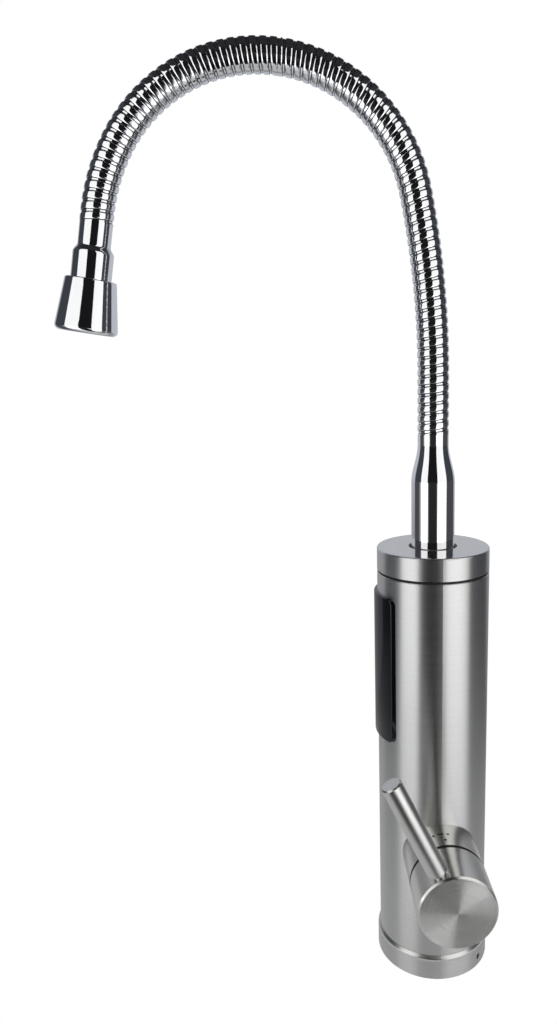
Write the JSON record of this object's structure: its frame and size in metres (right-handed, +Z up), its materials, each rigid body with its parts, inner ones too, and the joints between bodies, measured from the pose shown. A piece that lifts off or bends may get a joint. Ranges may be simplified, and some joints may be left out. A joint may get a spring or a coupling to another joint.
{
  "type": "electric instant water heater tap",
  "caption": "Column tap that heats water as it flows, with a ribbed gooseneck spout, a side lever valve and a dark display window.",
  "frame": {"origin": "centre of the base's underside, at the mouth of the inlet thread", "axes": "+Z up along the column, -Y towards the spout and display, +X towards the valve and lever"},
  "size_m": [0.1062, 0.2223, 0.4933],
  "materials": {
    "brushed_stainless": "satin, finely brushed round the column",
    "bright_chrome": "polished chrome plate",
    "window_black": "high gloss, black",
    "seal_rubber": "matt black",
    "black_plastic": "fine moulded, black",
    "white_plastic": "fine moulded, white",
    "aerator_plastic": "fine moulded, grey",
    "valve_brass": "machined",
    "plain_steel": "plain stainless",
    "valve_ceramic": "lapped alumina",
    "circuit_board": "solder mask green",
    "digit_module": "smoked lens",
    "reed_glass": "clear tube",
    "tube_silicone": "translucent silicone"
  },
  "bodies": {
    "column": {"base_collar": "brushed_stainless", "base_plate": "black_plastic", "base_gasket": "seal_rubber", "collar_grub_screws": "plain_steel", "inlet_fitting": "valve_brass", "cable_gland": "black_plastic", "terminal_block": "black_plastic", "valve_body": "valve_brass", "valve_sleeve": "brushed_stainless", "cartridge_seal": "seal_rubber", "fixed_ceramic_disc": "valve_ceramic", "cartridge_housing": "white_plastic", "cartridge_nut": "valve_brass", "knob_slide_ring": "black_plastic", "flow_housing": "white_plastic", "flow_spring": "plain_steel", "reed_switch": "reed_glass", "heating_tank": "plain_steel", "heating_element": "plain_steel", "tank_seal": "seal_rubber", "tank_lid": "plain_steel", "tank_screws": "plain_steel", "thermal_cutout": "black_plastic", "spout_clip": "plain_steel", "control_board": "circuit_board", "triac": "black_plastic", "display_window": "window_black", "display_board": "circuit_board", "display_digits": "digit_module", "outer_shell": "brushed_stainless", "cap_gasket": "seal_rubber", "top_cap": "brushed_stainless"},
    "handle": {"knob": "brushed_stainless", "lever_rod": "brushed_stainless", "knob_grub_screw": "plain_steel", "valve_stem": "valve_brass", "moving_ceramic_disc": "valve_ceramic", "stem_o_ring": "seal_rubber"},
    "flow_plunger": {"flow_piston": "white_plastic"},
    "spout_foot": {"spout_ferrule": "bright_chrome", "spout_o_rings": "seal_rubber", "hose_lower": "bright_chrome", "hose_flex_low": "bright_chrome", "inner_tube": "tube_silicone"},
    "neck_crown": {"hose_crown": "bright_chrome", "hose_flex_tip": "bright_chrome"},
    "neck_tip": {"hose_tip": "bright_chrome", "tip_ferrule": "bright_chrome", "nozzle_shell": "bright_chrome", "nozzle_washer": "seal_rubber", "aerator_insert": "aerator_plastic"}
  },
  "joints": [
    {"name": "lever_turn", "type": "hinge", "parent": "column", "child": "handle", "pos_m": [0, 0, 0.07505], "axis": [1, 0, 0], "range_deg": [-115.4, 64.6]},
    {"name": "flow_lift", "type": "slide", "parent": "column", "child": "flow_plunger", "axis": [0, 0, 1], "range_m": [0, 0.005], "stiffness_N_per_m": 40, "springref_m": -0.002, "deforming": ["flow_spring"]},
    {"name": "spout_swivel", "type": "hinge", "parent": "column", "child": "spout_foot", "pos_m": [0, 0, 0.237], "axis": [0, 0, 1], "continuous": true},
    {"name": "neck_bend_low", "type": "hinge", "parent": "spout_foot", "child": "neck_crown", "pos_m": [0, -0.02049, 0.44935], "axis": [1, 0, 0], "range_deg": [-30, 12], "deforming": ["hose_flex_low", "inner_tube"]},
    {"name": "neck_bend_tip", "type": "hinge", "parent": "neck_crown", "child": "neck_tip", "pos_m": [0, -0.136, 0.4672], "axis": [1, 0, 0], "range_deg": [-30, 12], "deforming": ["hose_flex_tip", "inner_tube"]}
  ]
}
